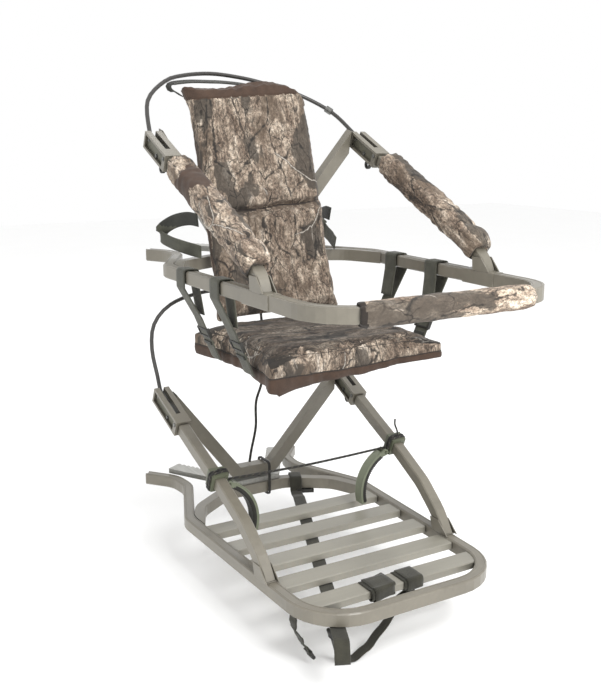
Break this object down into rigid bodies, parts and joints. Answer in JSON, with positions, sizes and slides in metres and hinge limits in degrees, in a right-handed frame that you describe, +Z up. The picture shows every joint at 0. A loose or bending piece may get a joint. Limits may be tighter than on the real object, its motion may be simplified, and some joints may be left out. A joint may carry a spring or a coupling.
{
  "type": "climbing tree stand",
  "caption": "Two-part climbing tree stand: a padded sling seat and backrest on an arm-rail frame, tethered over a slatted foot platform, each with a toothed yoke and cable loop.",
  "frame": {"origin": "on the tree's axis, midway between the two arms of the seat section, level with the top face of its frame", "axes": "+Z up along the tree, +Y from the seat towards the tree, +X towards the sitter's left as they face away from the tree"},
  "size_m": [0.5938, 1.0044, 1.1816],
  "materials": {
    "frame_metal": "satin taupe-green powder coat",
    "slat_metal": "satin powder coat",
    "yoke_metal": "bare, satin",
    "camo_cloth": "printed woven cloth over foam",
    "webbing": "woven nylon",
    "coated_cable": "plastic-coated steel cable",
    "cord": "braided cord",
    "steel": "plain",
    "dark_plastic": "moulded",
    "green_plastic": "moulded, ribbed"
  },
  "bodies": {
    "seat_section": {"seat_front_bow": "frame_metal", "seat_rail_left": "frame_metal", "seat_rail_right": "frame_metal", "seat_rear_bow": "frame_metal", "seat_yoke": "yoke_metal", "seat_brace": "frame_metal", "seat_upright_left": "frame_metal", "seat_upright_right": "frame_metal", "seat_left_bracket": "frame_metal", "seat_right_bracket": "frame_metal", "seat_left_latch_pin": "steel", "seat_right_latch_pin": "steel", "seat_cable": "coated_cable", "seat_cable_stop": "steel", "arm_pad_left": "camo_cloth", "arm_pad_right": "camo_cloth", "front_bar_pad": "camo_cloth", "tether_cord": "cord"},
    "platform": {"platform_frame": "frame_metal", "slat_1": "slat_metal", "slat_2": "slat_metal", "slat_3": "slat_metal", "slat_4": "slat_metal", "slat_5": "slat_metal", "platform_rear_bow": "frame_metal", "platform_yoke": "yoke_metal", "platform_brace": "frame_metal", "platform_upright_left": "frame_metal", "platform_upright_right": "frame_metal", "platform_left_bracket": "frame_metal", "platform_right_bracket": "frame_metal", "platform_left_latch_pin": "steel", "platform_right_latch_pin": "steel", "platform_cable": "coated_cable", "stirrup_clamp_left": "dark_plastic", "stirrup_clamp_right": "dark_plastic", "stirrup_bungee": "cord", "hub_band": "cord", "pack_strap": "webbing", "pack_strap_loop": "webbing", "pack_strap_tail": "webbing"},
    "seat_sling": {"seat_cushion": "camo_cloth", "seat_strap_front_left": "webbing", "seat_strap_rear_left": "webbing", "seat_strap_front_right": "webbing", "seat_strap_rear_right": "webbing", "seat_buckle_front_left": "dark_plastic", "seat_buckle_rear_left": "dark_plastic", "seat_buckle_front_right": "dark_plastic", "seat_buckle_rear_right": "dark_plastic"},
    "backrest_panel": {"backrest": "camo_cloth", "backrest_top_strap": "webbing", "backrest_side_strap_left": "webbing", "backrest_side_strap_right": "webbing"},
    "seat_left_lever": {"seat_left_latch": "dark_plastic"},
    "seat_right_lever": {"seat_right_latch": "dark_plastic"},
    "platform_left_lever": {"platform_left_latch": "dark_plastic"},
    "platform_right_lever": {"platform_right_latch": "dark_plastic"},
    "left_stirrup": {"stirrup_left": "green_plastic"},
    "right_stirrup": {"stirrup_right": "green_plastic"}
  },
  "joints": [
    {"name": "platform_height", "type": "slide", "parent": "seat_section", "child": "platform", "axis": [0, 0, 1], "range_m": [-0.2, 0.04], "deforming": ["tether_cord"]},
    {"name": "seat_slide", "type": "slide", "parent": "seat_section", "child": "seat_sling", "axis": [0, 1, 0], "range_m": [-0.05, 0]},
    {"name": "backrest_fold", "type": "hinge", "parent": "seat_sling", "child": "backrest_panel", "pos_m": [0, -0.3175, -0.1176], "axis": [1, 0, 0], "range_deg": [0, 70]},
    {"name": "seat_left_latch_swing", "type": "hinge", "parent": "seat_section", "child": "seat_left_lever", "pos_m": [-0.27006, -0.27337, 0.23423], "axis": [0.9999, 0.014, 0], "range_deg": [0, 22], "stiffness_Nm_per_rad": 0.03, "springref_deg": -22.92},
    {"name": "seat_right_latch_swing", "type": "hinge", "parent": "seat_section", "child": "seat_right_lever", "pos_m": [0.27006, -0.27337, 0.23423], "axis": [0.9999, -0.014, 0], "range_deg": [0, 22], "stiffness_Nm_per_rad": 0.03, "springref_deg": -22.92},
    {"name": "platform_left_latch_swing", "type": "hinge", "parent": "platform", "child": "platform_left_lever", "pos_m": [-0.24773, -0.22742, -0.37253], "axis": [0.9991, 0.042, 0], "range_deg": [0, 22], "stiffness_Nm_per_rad": 0.03, "springref_deg": -22.92},
    {"name": "platform_right_latch_swing", "type": "hinge", "parent": "platform", "child": "platform_right_lever", "pos_m": [0.24773, -0.22742, -0.37253], "axis": [0.9991, -0.042, 0], "range_deg": [0, 22], "stiffness_Nm_per_rad": 0.03, "springref_deg": -22.92},
    {"name": "left_stirrup_swing", "type": "hinge", "parent": "platform", "child": "left_stirrup", "pos_m": [-0.20963, -0.4445, -0.47345], "axis": [0, -1, 0], "range_deg": [-8, 20]},
    {"name": "right_stirrup_swing", "type": "hinge", "parent": "platform", "child": "right_stirrup", "pos_m": [0.20963, -0.4445, -0.47345], "axis": [0, 1, 0], "range_deg": [-8, 20]}
  ]
}
